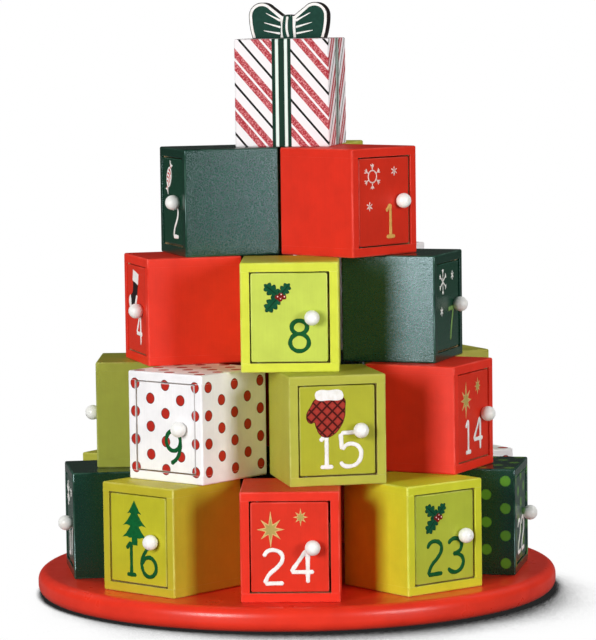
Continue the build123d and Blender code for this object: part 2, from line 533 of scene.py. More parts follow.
def brushStrokeTree():
    tree, add, given = openTree("brushStroke", (
        ("Path", "Geometry", None),
        ("Width", "Float", 2.7 * mm),
        ("Height", "Float", paintHeight),
        ("Taper", "Float", 0.0),
        ("Paint", "Material", None),
    ))
    path = add("GeometryNodeResampleCurve", {
        "Curve": given["Path"], "Length": brush["step"]}, mode="LENGTH")
    along = add("GeometryNodeSplineParameter").outputs
    total = add("GeometryNodeSplineLength")
    left = add("Math", [total, along["Length"]], operation="SUBTRACT")
    end = add("Math", [along["Length"], left], operation="MINIMUM")
    halfWidth = add("Math", [given["Width"], 0.5], operation="MULTIPLY")
    # each open end is a half circle, a closed loop has none
    ratio = add("Math", [end, halfWidth], operation="DIVIDE", use_clamp=True)
    short = add("Math", [1.0, ratio], operation="SUBTRACT")
    square = add("Math", [short, 2.0], operation="POWER")
    rest = add("Math", [1.0, square], operation="SUBTRACT")
    roundEnd = add("Math", [rest], operation="SQRT")
    isLoop = add("GeometryNodeInputSplineCyclic")
    swell = add("Math", [roundEnd, isLoop], operation="MAXIMUM")
    # a hand that wavers, and a brush that runs dry towards the end
    waver = add("TexNoise", {"Scale": 1 / brush["waverSize"], "Detail": 1.0})
    wavered = add("MapRange", [waver, noiseLow, noiseHigh, 1 - brush["waver"], 1 + brush["waver"]])
    thinned = add("Math", [given["Taper"], along["Factor"]], operation="MULTIPLY")
    kept = add("Math", [1.0, thinned], operation="SUBTRACT")
    body = add("Math", [wavered, kept], operation="MULTIPLY")
    size = add("Math", [swell, body], operation="MULTIPLY")
    profile = add("GeometryNodeCurvePrimitiveCircle", {"Resolution": brush["sides"], "Radius": halfWidth})
    tube = add("GeometryNodeCurveToMesh", {"Curve": path, "Profile Curve": profile, "Scale": size})
    welded = add("GeometryNodeMergeByDistance", {"Geometry": tube, "Distance": brush["merge"]})
    flatness = add("Math", [given["Height"], halfWidth], operation="DIVIDE")
    scale = add("CombineXYZ", [1.0, 1.0, flatness])
    flat = add("GeometryNodeTransform", {"Geometry": welded, "Scale": scale})
    smooth = add("GeometryNodeSetShadeSmooth", {"Geometry": flat})
    closeTree(add, smooth, given["Paint"])
    return tree


# An eight-pointed star, its upright rays the longest
def paintedStarTree():
    tree, add, given = openTree("paintedStar", (
        ("Reach", "Float", 8.7 * mm),
        ("Upright", "Float", 1.4),
        ("Diagonal", "Float", 0.95),
        ("Waist", "Float", 3.4 * mm),
        ("Height", "Float", paintHeight),
        ("Paint", "Material", None),
    ))
    outline = add("GeometryNodeCurveStar", {
        "Points": 8, "Inner Radius": given["Waist"], "Outer Radius": given["Reach"]})
    index = add("GeometryNodeInputIndex")
    # points 2, 6, 10 and 14 of the outline are the diagonal tips, 4 and 12 the upright ones
    factor = 1.0
    for cycle, first, name in ((4.0, 2.0, "Diagonal"), (8.0, 4.0, "Upright")):
        place = add("Math", [index, cycle], operation="MODULO")
        isTip = add("Math", [place, first, 0.1], operation="COMPARE")
        factor = add("Mix", {0: isTip, 2: factor, 3: given[name]})
    position = add("GeometryNodeInputPosition")
    stretched = add("VectorMath", {0: position, "Scale": factor}, operation="SCALE")
    rays = add("GeometryNodeSetPosition", {"Geometry": outline, "Position": stretched})
    face = add("GeometryNodeFillCurve", {"Curve": rays}, mode="NGONS")
    raised = add("GeometryNodeExtrudeMesh", {
        "Mesh": face, "Offset Scale": given["Height"], "Individual": False})
    under = add("GeometryNodeFlipFaces", {"Mesh": face})
    both = add("GeometryNodeJoinGeometry", [raised])
    tree.links.new(under.outputs[0], both.inputs[0])
    welded = add("GeometryNodeMergeByDistance", {"Geometry": both, "Distance": brush["merge"]})
    closeTree(add, welded, given["Paint"])
    return tree


# A snowflake: brushed arms round a ring, each with a fork of two twigs
flakeShape = {
    "twigSpread": 0.8,  # how far a twig goes aside, as a share of how far it goes out
    "ringSides": 18,
    "leastRing": 1 * mm,
}


def paintedFlakeTree(strokeTree):
    tree, add, given = openTree("paintedFlake", (
        ("Arms", "Int", 6),
        ("Reach", "Float", 9 * mm),
        ("Hub", "Float", 4.2 * mm),
        ("Fork", "Float", 0.6),
        ("Twig", "Float", 2.2 * mm),
        ("Width", "Float", 1.1 * mm),
        ("Height", "Float", paintHeight),
        ("Paint", "Material", None),
    ))
    tip = add("CombineXYZ", [given["Reach"]])
    ringEnd = add("CombineXYZ", [given["Hub"]])
    arm = add("GeometryNodeCurvePrimitiveLine", {"Start": ringEnd, "End": tip})
    root = add("Math", [given["Reach"], given["Fork"]], operation="MULTIPLY")
    forkAt = add("CombineXYZ", [root])
    out = add("Math", [root, given["Twig"]], operation="ADD")
    forkedArm = add("GeometryNodeJoinGeometry")
    for spread in (flakeShape["twigSpread"], -flakeShape["twigSpread"]):
        aside = add("Math", [given["Twig"], spread], operation="MULTIPLY")
        twigEnd = add("CombineXYZ", [out, aside])
        twig = add("GeometryNodeCurvePrimitiveLine", {"Start": forkAt, "End": twigEnd})
        tree.links.new(twig.outputs[0], forkedArm.inputs[0])
    tree.links.new(arm.outputs[0], forkedArm.inputs[0])
    isForked = add("Math", [given["Fork"], 0.0], operation="GREATER_THAN")
    limb = add("GeometryNodeSwitch", {
        "Switch": isForked, "False": arm, "True": forkedArm}, input_type="GEOMETRY")
    index = add("GeometryNodeInputIndex")
    step = add("Math", [2 * math.pi, given["Arms"]], operation="DIVIDE")
    angle = add("Math", [index, step, math.pi / 2], operation="MULTIPLY_ADD")
    turn = add("CombineXYZ", {2: angle})
    points = add("GeometryNodePoints", {"Count": given["Arms"]})
    limbs = add("GeometryNodeInstanceOnPoints", {"Points": points, "Instance": limb, "Rotation": turn})
    ring = add("GeometryNodeCurvePrimitiveCircle", {
        "Resolution": flakeShape["ringSides"], "Radius": given["Hub"]})
    ringTurn = add("GeometryNodeTransform", {"Geometry": ring, "Rotation": (0.0, 0.0, math.pi / 2)})
    hasRing = add("Math", [given["Hub"], flakeShape["leastRing"]], operation="GREATER_THAN")
    hub = add("GeometryNodeSwitch", {"Switch": hasRing, "True": ringTurn}, input_type="GEOMETRY")
    lines = add("GeometryNodeJoinGeometry", [limbs])
    tree.links.new(hub.outputs[0], lines.inputs[0])
    real = add("GeometryNodeRealizeInstances", [lines])
    brushed = add("GeometryNodeGroup", {
        "Path": real, "Width": given["Width"], "Height": given["Height"], "Paint": given["Paint"]},
        node_tree=strokeTree)
    closeTree(add, brushed, given["Paint"])
    return tree


strokeTree = brushStrokeTree()
starTree = paintedStarTree()
flakeTree = paintedFlakeTree(strokeTree)
print("node trees:", len(bpy.data.node_groups))

# Lines are drawn on a flat sheet, x to the right and y up in metres, with the paint's height along z.
# A patch of paint has a straight wall under a soft edge.
patchStyle = {
    "wall": 0.6,
    "softEdge": 0.4,
    "curveSteps": 6,
    "merge": 0.005 * mm,
}


def ellipsePoints(centreX, centreY, radiusX, radiusY, count=12):
    turns = [2 * math.pi * step / count for step in range(count)]
    return [(centreX + radiusX * math.cos(t), centreY + radiusY * math.sin(t)) for t in turns]


def moved(points, x=0.0, y=0.0, size=1.0, turn=0.0):  # points scaled, turned and put at a place on the sheet
    c, s = math.cos(turn) * size, math.sin(turn) * size
    return [(x + c * px - s * py, y + s * px + c * py) for px, py in points]


def splineData(name, paths, closed, smooth):  # a spline for each path, smooth or straight between points
    data = bpy.data.curves.new(name, "CURVE")
    for points, isLoop in zip(paths, closed):
        spline = data.splines.new("BEZIER")
        spline.bezier_points.add(len(points) - 1)
        for knot, (x, y) in zip(spline.bezier_points, points):
            knot.co = (x, y, 0.0)
            knot.handle_left_type = knot.handle_right_type = "AUTO" if smooth else "VECTOR"
        spline.use_cyclic_u = isLoop
    return data


def strokes(paths, width, paint, loops=(), taper=0.0, height=paintHeight, lift=0.0):
    data = splineData("strokes", [*paths, *loops], [False] * len(paths) + [True] * len(loops), True)
    data.dimensions = "3D"
    mesh = runTree(strokeTree, data, {
        "Width": width, "Height": height, "Taper": taper, "Paint": brushPaint[paint]})
    mesh.transform(Matrix.Translation((0.0, 0.0, lift)))
    return mesh, brushPaint[paint]


def filled(points, material, smooth=False, height=paintHeight):  # a patch of paint with a soft edge
    data = splineData("patch", [points], [True], smooth)
    data.dimensions = "2D"
    data.fill_mode = "BOTH"
    data.extrude = height * patchStyle["wall"]
    data.bevel_depth = height * patchStyle["softEdge"]
    data.resolution_u = patchStyle["curveSteps"]
    mesh = bakedMesh(newWorker("patch", data))
    shape = openMesh(mesh)
    bmesh.ops.remove_doubles(shape, verts=shape.verts, dist=patchStyle["merge"])
    bmesh.ops.recalc_face_normals(shape, faces=shape.faces)
    faceMap = shape.loops.layers.uv.new("face")
    for face in shape.faces:
        for loop in face.loops:
            loop[faceMap].uv = loop.vert.co.xy
    return closeMesh(shape, mesh), material


# Number shapes in a cell one high: each brush line, and loops as middle and radii
digitLines = {
    "1": [[(0.0, 0.77), (0.2, 1.0)], [(0.2, 1.0), (0.2, 0.0)], [(0.0, 0.0), (0.41, 0.0)]],
    "2": [[(0.0, 0.8), (0.1, 0.95), (0.31, 1.0), (0.53, 0.88), (0.55, 0.7), (0.43, 0.52), (0.15, 0.26),
           (0.02, 0.0)],
          [(0.02, 0.0), (0.6, 0.01)]],
    "3": [[(0.02, 0.86), (0.14, 0.97), (0.33, 1.0), (0.53, 0.89), (0.53, 0.69), (0.38, 0.57), (0.2, 0.55)],
          [(0.2, 0.55), (0.43, 0.52), (0.6, 0.37), (0.59, 0.16), (0.4, 0.0), (0.16, 0.01), (0.0, 0.14)]],
    "4": [[(0.47, 1.0), (0.0, 0.34)], [(0.0, 0.34), (0.69, 0.34)], [(0.5, 0.96), (0.5, 0.0)]],
    "5": [[(0.02, 1.0), (0.5, 1.02)], [(0.02, 1.0), (0.05, 0.5)],
          [(0.05, 0.5), (0.21, 0.65), (0.42, 0.66), (0.6, 0.53), (0.64, 0.33), (0.54, 0.1), (0.33, 0.0),
           (0.1, 0.03), (0.0, 0.15)]],
    "6": [[(0.47, 1.0), (0.2, 0.77), (0.03, 0.45), (0.05, 0.2), (0.19, 0.03), (0.38, 0.0), (0.57, 0.13),
           (0.61, 0.33), (0.5, 0.52), (0.3, 0.58), (0.11, 0.49), (0.03, 0.36)]],
    "7": [[(0.0, 0.97), (0.55, 1.0)], [(0.55, 1.0), (0.36, 0.5), (0.22, 0.0)]],
    "9": [[(0.58, 0.72), (0.57, 0.45), (0.44, 0.18), (0.2, 0.0)]],
}
digitLoops = {
    "0": [(0.3, 0.5, 0.29, 0.5)],
    "8": [(0.31, 0.79, 0.23, 0.2), (0.31, 0.33, 0.28, 0.26)],
    "9": [(0.3, 0.7, 0.28, 0.3)],
}
digitWidths = dict(zip("0123456789", (0.59, 0.41, 0.6, 0.6, 0.69, 0.64, 0.61, 0.55, 0.62, 0.58)))
numberStyle = {
    "height": 21.6 * mm,
    "brush": 2.8 * mm,
    "gap": 4.4 * mm,
    "baseline": 12.3 * mm,
    "rightEnd": 15.3 * mm,
    "singleMiddle": 6.2 * mm,
}


def paintNumber(number, paint):
    style = numberStyle
    height = style["height"]
    digits = str(number)
    widths = [digitWidths[digit] * height for digit in digits]
    total = sum(widths) + style["gap"] * (len(digits) - 1)
    x = style["rightEnd"] - total if len(digits) > 1 else style["singleMiddle"] - total / 2
    lines, loops = [], []
    for digit, width in zip(digits, widths):
        rings = [ellipsePoints(*loop) for loop in digitLoops.get(digit, ())]
        lines += [moved(line, x, style["baseline"], height) for line in digitLines.get(digit, ())]
        loops += [moved(ring, x, style["baseline"], height) for ring in rings]
        x += width + style["gap"]
    return [strokes(lines, style["brush"], paint, loops)]


# Motifs, placed from the middle of the box's foot line
starStyle = {
    "big": {
        "at": (-12.3 * mm, 47.2 * mm),
        "Reach": 8.9 * mm, "Upright": 1.36, "Diagonal": 1.0, "Waist": 3.5 * mm},
    "small": {
        "at": (6.9 * mm, 55.0 * mm),
        "Reach": 4.8 * mm, "Upright": 1.2, "Diagonal": 0.97, "Waist": 2.0 * mm},
}
starMiddle = {"Reach": 0.58, "Waist": 0.8}  # the duller middle, as shares of its star
starMiddleHeight = 1.4 * paintHeight


def paintStars(paint):
    parts = []
    for star in starStyle.values():
        middle = {**star, **{name: star[name] * share for name, share in starMiddle.items()}}
        for shape, coat, height in ((star, paint, paintHeight), (middle, "oldGold", starMiddleHeight)):
            mesh = runTree(starTree, bpy.data.meshes.new("star"), {
                **shape, "Height": height, "Paint": brushPaint[coat]})
            mesh.transform(Matrix.Translation((*star["at"], 0.0)))
            parts.append((mesh, brushPaint[coat]))
    return parts


# A big flake, and two small ones with plain arms
plainFlake = {"Reach": 3.4 * mm, "Hub": 0.0, "Fork": 0.0, "Width": 0.9 * mm}
flakeStyle = {
    "big": {
        "at": (-11.6 * mm, 52.6 * mm), "Reach": 8.8 * mm, "Hub": 4.1 * mm, "Fork": 0.68, "Twig": 2.2 * mm,
        "Width": 0.95 * mm},
    "right": {"at": (10.1 * mm, 55.5 * mm), **plainFlake},
    "low": {"at": (-14.6 * mm, 32.9 * mm), **plainFlake},
}


def paintSnow(paint, hub=1.0):
    parts = []
    for flake in flakeStyle.values():
        mesh = runTree(flakeTree, bpy.data.meshes.new("flake"), {
            **flake, "Hub": flake["Hub"] * hub, "Height": paintHeight, "Paint": brushPaint[paint]})
        mesh.transform(Matrix.Translation((*flake["at"], 0.0)))
        parts.append((mesh, brushPaint[paint]))
    return parts


def paintOpenSnow(paint):  # the big flake's arms meet in the middle
    return paintSnow(paint, 0.0)


hollyStyle = {
    "middle": (-6.6 * mm, 49.6 * mm),
    "leaves": ((12.6 * mm, 141), (10.8 * mm, 50), (13.6 * mm, 228)),  # length, and direction in degrees
    "side": ((0.1, 0.1), (0.26, 0.3), (0.35, 0.17), (0.54, 0.34), (0.63, 0.17), (0.8, 0.27), (0.87, 0.1)),
    "edge": 0.7 * mm,
    "edgeHeight": 0.24 * mm,
    "rib": 0.6 * mm,
    "ribLine": ((0.15, 0.0), (0.86, 0.0)),
    "ribHeight": 0.16 * mm,
    "ribLift": 0.14 * mm,
    "berries": ((-1.3 * mm, -0.5 * mm), (1.0 * mm, 0.9 * mm), (0.6 * mm, -1.9 * mm), (3.1 * mm, -0.6 * mm)),
    "berry": 1.3 * mm,
    "berryPoints": 10,
    "berryHeight": 0.45 * mm,
    "berryEdge": 0.5 * mm,
    "berryEdgeHeight": 0.4 * mm,
    "glint": (0.3 * mm, 0.35 * mm, 0.28 * mm),  # its place on the berry, and its radius
    "glintHeight": 0.54 * mm,
    "glintPoints": 6,
}


def paintHolly(paint):
    style = hollyStyle
    x, y = style["middle"]
    parts = []
    for length, direction in style["leaves"]:
        upper = list(style["side"])
        lower = [(along, -side) for along, side in reversed(upper)]
        turn = math.radians(direction)
        outline = moved([(0.0, 0.0), *upper, (1.0, 0.0), *lower], x, y, length, turn)
        parts.append(filled(outline, brushPaint[paint]))
        sides = [[a, b] for a, b in zip(outline, [*outline[1:], outline[0]])]
        parts.append(strokes(sides, style["edge"], "hollyEdge", height=style["edgeHeight"]))
        rib = moved(style["ribLine"], x, y, length, turn)
        parts.append(strokes(
            [rib], style["rib"], "hollyEdge", height=style["ribHeight"], lift=style["ribLift"]))
    glintX, glintY, glint = style["glint"]
    for offX, offY in style["berries"]:
        ring = ellipsePoints(x + offX, y + offY, style["berry"], style["berry"], style["berryPoints"])
        parts.append(filled(ring, brushPaint["berry"], True, style["berryHeight"]))
        parts.append(strokes([], style["berryEdge"], "maroon", [ring], height=style["berryEdgeHeight"]))
        dot = ellipsePoints(x + offX + glintX, y + offY + glintY, glint, glint, style["glintPoints"])
        parts.append(filled(dot, brushPaint["rose"], True, style["glintHeight"]))
    return parts


firStyle = {
    "middle": -3.6 * mm,
    "tiers": ((61.0, 52.6, 6.1), (56.2, 44.7, 10.0), (49.2, 36.8, 10.8)),  # tip, foot and half width
    # a tier's right side: share of the half width, share of the rise, and millimetres above that
    "side": ((0.44, 0.48, 0.0), (0.7, 0.2, 0.0), (1.0, 0.0, -0.2), (0.66, 0.0, 0.5), (0.4, 0.0, -0.4)),
    "footRise": 0.3 * mm,
    "tierHeight": 0.24 * mm,
    "tierStep": 0.04 * mm,  # each lower tier is this much thinner, so that the upper one covers it
    "trunk": (37.6, 31.8, 2.5),
    "trunkHeight": 0.12 * mm,
}


def paintFir(paint):
    style = firStyle
    x = style["middle"]
    top, foot, half = (size * mm for size in style["trunk"])
    trunk = [(x - half, foot), (x + half, foot), (x + half, top), (x - half, top)]
    parts = [filled(trunk, brushPaint[paint], height=style["trunkHeight"])]
    for level, tier in enumerate(style["tiers"]):
        tip, foot, half = (size * mm for size in tier)
        right = [(half * out, foot + (tip - foot) * up + above * mm) for out, up, above in style["side"]]
        left = [(-px, py) for px, py in reversed(right)]
        outline = [(0.0, tip), *right, (0.0, foot + style["footRise"]), *left]
        height = style["tierHeight"] - style["tierStep"] * level
        parts.append(filled([(x + px, py) for px, py in outline], brushPaint[paint], height=height))
    return parts


mittenStyle = {
    "hand": ((-14.0, 56.4), (-17.6, 51.5), (-20.2, 46.6), (-19.7, 42.6), (-17.4, 40.9), (-15.4, 41.6),
             (-14.2, 38.4), (-11.6, 33.6), (-8.2, 31.6), (-3.4, 32.9), (1.3, 37.6), (4.3, 44.0), (4.9, 50.2),
             (4.0, 56.6)),
    "cuff": ((-14.3, 57.3), (-14.5, 60.0), (-13.4, 61.5), (-5.6, 61.9), (2.3, 61.5), (3.4, 60.0), (3.7, 57.2),
             (2.8, 56.0), (-5.5, 55.6), (-13.4, 56.1)),
    "cuffHeight": 0.32 * mm,
    "edge": 0.7 * mm,
    "edgeHeight": 0.26 * mm,
}


def paintMitten(paint):
    style = mittenStyle
    hand = moved(style["hand"], size=mm)
    cuff = moved(style["cuff"], size=mm)
    return [
        filled(hand, quilt, True),
        strokes([], style["edge"], "maroon", [hand], height=style["edgeHeight"]),
        filled(cuff, brushPaint[paint], True, style["cuffHeight"]),
    ]


sweetStyle = {
    "middle": (-9.6 * mm, 51.6 * mm),
    "turn": math.radians(58),
    "body": (7.4, 5.2),
    "bodyPoints": 14,
    "bodyHeight": 0.26 * mm,
    "wings": ((6.6, 0.0), (11.4, 3.7), (10.4, 0.2), (11.6, -3.4)),
    "folds": (((6.8, 0.0), (10.2, 2.0)), ((6.8, 0.0), (10.2, -1.7))),
    "foldWidth": 0.9 * mm,
    "foldHeight": 0.3 * mm,
    "bands": (-4.4, -1.4, 1.6, 4.6),
    "bandShare": 0.86,  # of the body's height where the band crosses it
    "bandBow": (-0.9, 0.7),  # where its ends and its middle lie from there
    "bandWidth": 2.1 * mm,
    "bandHeight": 0.36 * mm,
}


def paintSweet(paint):
    style = sweetStyle
    place = (*style["middle"], mm, style["turn"])
    parts = []
    for side in (1, -1):
        wing = [(side * px, side * py) for px, py in style["wings"]]
        parts.append(filled(moved(wing, *place), brushPaint[paint]))
        folds = [moved([(side * px, py) for px, py in line], *place) for line in style["folds"]]
        parts.append(strokes(folds, style["foldWidth"], "cherry", height=style["foldHeight"]))
    wide, tall = style["body"]
    body = ellipsePoints(0.0, 0.0, wide, tall, style["bodyPoints"])
    parts.append(filled(moved(body, *place), brushPaint[paint], True, style["bodyHeight"]))
    ends, bow = style["bandBow"]
    bands = []
    for at in style["bands"]:
        reach = tall * math.sqrt(1 - (at / wide) ** 2) * style["bandShare"]
        bands.append(moved([(at + ends, -reach), (at + bow, 0.0), (at + ends, reach)], *place))
    parts.append(strokes(bands, style["bandWidth"], "cherry", height=style["bandHeight"]))
    return parts


stockingStyle = {
    "leg": ((-7.4, 55.5), (-9.6, 47.4), (-13.6, 44.6), (-18.9, 43.2), (-20.6, 39.4), (-18.4, 35.9),
            (-12.4, 35.2), (-4.6, 36.9), (0.3, 41.4), (2.2, 48.0), (3.3, 53.6)),
    "cuff": ((-9.4, 54.4), (-7.8, 61.6), (5.4, 59.4), (4.3, 52.4)),
    "cuffHeight": 0.32 * mm,
    "toe": ((-16.4, 44.0), (-19.2, 43.0), (-20.5, 39.4), (-18.3, 36.0), (-15.2, 35.6), (-14.4, 39.8)),
    "heel": ((-3.0, 37.6), (0.4, 41.6), (1.4, 45.0), (-1.8, 43.2)),
    "patchHeight": 0.28 * mm,
}


def paintStocking(paint):
    style = stockingStyle
    parts = [filled(moved(style["leg"], size=mm), brushPaint["black"], True)]
    parts.append(filled(moved(style["cuff"], size=mm), brushPaint[paint], False, style["cuffHeight"]))
    for name in ("toe", "heel"):
        parts.append(filled(moved(style[name], size=mm), brushPaint[paint], True, style["patchHeight"]))
    return parts


caneStyle = {
    "path": ((-6.6, 32.8), (-9.2, 41.0), (-11.6, 49.2), (-11.4, 55.4), (-7.2, 59.6), (-1.6, 58.4),
             (0.6, 53.4)),
    "width": 4.6 * mm,
    "height": 0.26 * mm,
    "bands": 9,
    "bandReach": 1.9,
    "bandSlant": 0.9,
    "bandWidth": 1.3 * mm,
    "bandHeight": 0.36 * mm,
}


def paintCane(paint):
    style = caneStyle
    path = moved(style["path"], size=mm)
    bands = []
    for step in range(style["bands"]):
        at = (step + 0.5) / style["bands"] * (len(path) - 1)
        low = min(int(at), len(path) - 2)
        (ax, ay), (bx, by) = path[low], path[low + 1]
        middle = Vector((ax + (bx - ax) * (at - low), ay + (by - ay) * (at - low)))
        ahead = Vector((bx - ax, by - ay)).normalized()
        sideways = Vector((-ahead.y, ahead.x))
        across = sideways * style["bandReach"] * mm + ahead * style["bandSlant"] * mm
        bands.append([tuple(middle - across), tuple(middle + across)])
    return [
        strokes([path], style["width"], paint, height=style["height"]),
        strokes(bands, style["bandWidth"], "cherry", height=style["bandHeight"]),
    ]


# Base plate, turned with a full rounded rim
plateStyle = {
    "rim": 6.5 * mm,
    "rimSteps": 10,
    "shoulder": 1 * mm,  # a narrow ring that keeps the flat faces flat beside the rim
    "sides": 192,
}


def turnedMesh(profile, sides):  # a closed turning round z, its ends on the axis
    shape = bmesh.new()
    turns = [2 * math.pi * side / sides for side in range(sides)]
    rings = []
    for radius, height in profile:
        around = turns if radius > 0.0 else turns[:1]
        points = [(radius * math.cos(t), radius * math.sin(t), height) for t in around]
        rings.append([shape.verts.new(point) for point in points])
    for below, above in zip(rings, rings[1:]):
        for side in range(sides):
            after = (side + 1) % sides
            corners = [below[side % len(below)], below[after % len(below)]]
            corners += [above[after % len(above)], above[side % len(above)]]
            face = shape.faces.new(list(dict.fromkeys(corners)))
            face.smooth = True
    bmesh.ops.recalc_face_normals(shape, faces=shape.faces)
    return closeMesh(shape, bpy.data.meshes.new("turned"))


plateLow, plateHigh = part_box("base_plate")
plateRadius = (plateHigh.x - plateLow.x) / 2
rim, rimSteps = plateStyle["rim"], plateStyle["rimSteps"]
quarter = [math.pi / 2 * step / rimSteps for step in range(rimSteps + 1)]
rimMiddle = plateRadius - rim
lowerRim = [(rimMiddle + rim * math.sin(t), plateLow.z + rim * (1 - math.cos(t))) for t in quarter]
upperRim = [(radius, plateLow.z + plateHigh.z - height) for radius, height in reversed(lowerRim)]
shoulder = rimMiddle - plateStyle["shoulder"]
lowerFace = [(0.0, plateLow.z), (shoulder, plateLow.z)]
upperFace = [(shoulder, plateHigh.z), (0.0, plateHigh.z)]
plateMesh = turnedMesh([*lowerFace, *lowerRim, *upperRim, *upperFace], plateStyle["sides"])
plateMesh.materials.append(plateEnamel)
finishPiece("basePlate", plateMesh, "tower", "base_plate")
print("plate: radius", round(plateRadius, 4))

# One door box, glued from boards whose outer edges are sanded round
boxStyle = {
    "board": 6 * mm,
    "edge": 1.2 * mm,
    "edgeSteps": 3,
    "jointEdge": 0.07,  # joints and inner edges, as a share of the outer edge
    "openingEdge": 0.22,
    "paintedLip": 1.6 * mm,
    "bareDepth": 1.5 * mm,  # faces further than this under the outside are bare wood
}
onFace = 0.1 * mm  # a point nearer than this lies on a face
flatTurn = 0.9995  # a face that points along an axis this nearly is flat


def roundedBlocks(blocks, radius, weigh, steps):  # blocks with their edges rounded by weight
    shape = bmesh.new()
    weights = shape.edges.layers.float.new("bevel_weight_edge")
    for low, high in blocks:
        corners = bmesh.ops.create_cube(shape, size=1.0)["verts"]
        for corner in corners:
            corner.co = [high[axis] if corner.co[axis] > 0 else low[axis] for axis in range(3)]
        for corner in corners:
            for edge in corner.link_edges:
                edge[weights] = weigh((edge.verts[0].co + edge.verts[1].co) / 2)
    worker = newWorker("blocks", closeMesh(shape, bpy.data.meshes.new("blocks")))
    rounding = worker.modifiers.new("rounding", "BEVEL")
    rounding.limit_method = "WEIGHT"
    rounding.width = radius
    rounding.segments = steps
    return bakedMesh(worker)


def isFlat(normal):
    return max(abs(side) for side in normal) > flatTurn


def markFaces(mesh, middle, boardOf):  # smooth rounded edges, the edge mark, and both maps in metres
    shape = openMesh(mesh)
    edgeMark = shape.verts.layers.float.new("edge")
    faceMap = shape.loops.layers.uv.new("face")
    boardMap = shape.loops.layers.uv.new("board")
    for vert in shape.verts:
        vert[edgeMark] = 0.0 if any(isFlat(face.normal) for face in vert.link_faces) else 1.0
    for face in shape.faces:
        face.smooth = not isFlat(face.normal)
        axis = max(range(3), key=lambda side: abs(face.normal[side]))
        alongZ = boardOf(face.calc_center_median()) == "upright"
        for loop in face.loops:
            x, y, z = loop.vert.co - middle
            flat = ((y, z), (x, z), (x, y))[axis]
            loop[faceMap].uv = flat
            loop[boardMap].uv = flat[::-1] if alongZ and axis != 2 else flat
    closeMesh(shape, mesh)


def localBox(node, place):  # a node's lowest and highest corners in its box's own frame
    back = place.inverted()
    corners = [back @ vert.co for vert in frame["nodes"][node].data.vertices]
    return [Vector([pick(c[axis] for c in corners) for axis in range(3)]) for pick in (min, max)]


# Where each box stands: its middle from the frame, its facing from the hinge line beside its left edge
hingeAt = Vector((-20.7 * mm, -28.9 * mm))
places = {}
for joint in frame["joints"]:
    number = int(joint["child"][-2:])
    low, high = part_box(f"box_{number:02d}")
    middle = (low + high) / 2
    away = Vector(joint["pos_m"]) - middle
    facing = math.atan2(away.y, away.x) - math.atan2(hingeAt.y, hingeAt.x)
    places[number] = Matrix.Translation((middle.x, middle.y, low.z)) @ Matrix.Rotation(facing, 4, "Z")
boxLow, boxHigh = localBox("box_24", places[24])
boxMiddle = (boxLow + boxHigh) / 2
lipEnd = boxLow.y + boxStyle["paintedLip"]
thick = Vector((boxStyle["board"],) * 3)
innerLow, innerHigh = boxLow + thick, boxHigh - thick
boxBoards = (
    ((boxLow.x, boxLow.y, innerHigh.z), tuple(boxHigh)),
    (tuple(boxLow), (boxHigh.x, boxHigh.y, innerLow.z)),
    ((boxLow.x, boxLow.y, innerLow.z), (innerLow.x, boxHigh.y, innerHigh.z)),
    ((innerHigh.x, boxLow.y, innerLow.z), (boxHigh.x, boxHigh.y, innerHigh.z)),
    ((innerLow.x, innerHigh.y, innerLow.z), (innerHigh.x, boxHigh.y, innerHigh.z)),
)


def outerDepths(point):  # how deep a point lies under the box's outer faces, least first
    return sorted(min(point[axis] - boxLow[axis], boxHigh[axis] - point[axis]) for axis in range(3))


def boardEdgeWeight(point):
    if outerDepths(point)[1] < onFace:
        return 1.0
    return boxStyle["openingEdge"] if point.y - boxLow.y < onFace else boxStyle["jointEdge"]


def boardKind(point):
    isShelf = point.z > innerHigh.z or point.z < innerLow.z
    isSide = abs(point.x) > innerHigh.x
    return "upright" if isSide and not isShelf else "level"


def isBare(point):  # inside the box, behind the painted lip
    return outerDepths(point)[0] > boxStyle["bareDepth"] and point.y > lipEnd


boxMesh = roundedBlocks(boxBoards, boxStyle["edge"], boardEdgeWeight, boxStyle["edgeSteps"])
lip = openMesh(boxMesh)
bmesh.ops.bisect_plane(
    lip, geom=[*lip.verts, *lip.edges, *lip.faces], plane_co=(0.0, lipEnd, 0.0), plane_no=(0.0, 1.0, 0.0))
closeMesh(lip, boxMesh)
markFaces(boxMesh, boxMiddle, boardKind)
boxMesh.polygons.foreach_set("material_index", [int(isBare(face.center)) for face in boxMesh.polygons])
print("box mesh:", len(boxMesh.polygons), "faces")

# Inset door panel, bored from both ends for its brads
doorStyle = {
    "thickness": 6 * mm,
    "recess": 0.6 * mm,
    "gap": 0.8 * mm,
    "latchGap": 1.3 * mm,
    "edge": 1.5 * mm,  # behind the hinge line; the others are shares of it
    "edgeSteps": 4,
    "frontEdge": 0.6,
    "cornerEdge": 0.9,
    "backEdge": 0.35,
    "boreDiameter": 1.8 * mm,
    "boreDepth": 6.2 * mm,
    "boreSides": 16,
}
gap = doorStyle["gap"]
doorFront = boxLow.y + doorStyle["recess"]
doorBack = doorFront + doorStyle["thickness"]
doorLow = Vector((innerLow.x + gap, doorFront, innerLow.z + gap))
doorHigh = Vector((innerHigh.x - doorStyle["latchGap"], doorBack, innerHigh.z - gap))


def doorEdgeWeight(point):
    if point.y - doorLow.y < onFace:
        return doorStyle["frontEdge"]
    if doorHigh.y - point.y > onFace:
        return doorStyle["cornerEdge"]
    return 1.0 if point.x - doorLow.x < onFace else doorStyle["backEdge"]


